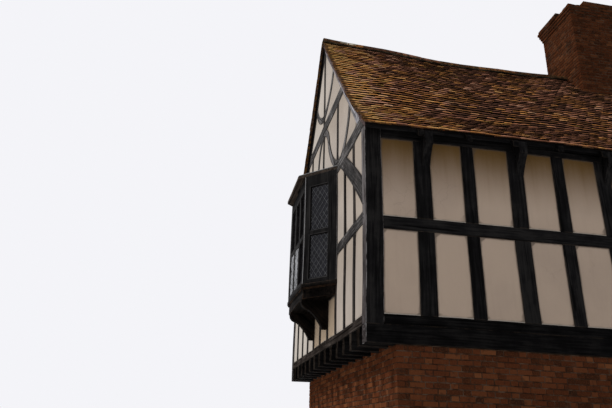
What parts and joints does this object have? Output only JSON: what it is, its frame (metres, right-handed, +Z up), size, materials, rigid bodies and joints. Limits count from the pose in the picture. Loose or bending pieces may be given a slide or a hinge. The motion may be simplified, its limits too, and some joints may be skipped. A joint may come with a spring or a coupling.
{
  "type": "half timbered house",
  "caption": "Gabled house with a brick ground storey, jettied timber framed upper storey, canted oriel window, tiled roof and chimney stack.",
  "frame": {"origin": "on the ground under the middle of the whole outline", "axes": "+Z up, the front gable with the oriel faces -Y, the ridge runs along Y, +X is to the right seen from the front"},
  "size_m": [6.66, 10.04, 11.5952],
  "materials": {
    "brick": "old red brick with lime mortar",
    "dark_oak": "blackened oak",
    "weathered_oak": "weathered grey brown oak",
    "lime_plaster": "matt limewashed plaster",
    "floor_boards": "worn boards",
    "roof_tiles": "plain clay tiles with lichen",
    "ridge_tiles": "weathered half round clay tiles",
    "leaded_glass": "old leaded panes",
    "lead": "dull lead sheet"
  },
  "bodies": {
    "root": {"ground_wall_front": "brick", "ground_wall_rear": "brick", "ground_wall_right": "brick", "ground_wall_left": "brick", "side_beams": "dark_oak", "cross_beams": "dark_oak", "floor_joists": "dark_oak", "joist_infill": "brick", "floor_boards": "floor_boards", "corner_posts": "dark_oak", "gable_sills": "weathered_oak", "side_sills": "dark_oak", "wall_plates": "dark_oak", "tie_beams": "weathered_oak", "collars": "weathered_oak", "rafters_right": "weathered_oak", "rafters_left": "weathered_oak", "front_studs": "weathered_oak", "front_rails": "weathered_oak", "front_braces": "weathered_oak", "front_plaster": "lime_plaster", "rear_studs": "weathered_oak", "rear_rails": "weathered_oak", "rear_braces": "weathered_oak", "rear_plaster": "lime_plaster", "right_posts": "dark_oak", "right_rails": "dark_oak", "right_plaster": "lime_plaster", "left_posts": "dark_oak", "left_rails": "dark_oak", "left_plaster": "lime_plaster", "eaves_brackets": "dark_oak", "roof_right": "roof_tiles", "roof_left": "roof_tiles", "ridge_tiles": "ridge_tiles", "chimney_stack": "brick", "chimney_cap": "brick", "oriel_base": "dark_oak", "oriel_consoles": "dark_oak", "oriel_front_frame": "dark_oak", "oriel_right_frame": "dark_oak", "oriel_left_frame": "dark_oak", "oriel_glass": "leaded_glass", "oriel_cornice": "dark_oak", "oriel_lead": "lead"}
  },
  "joints": []
}
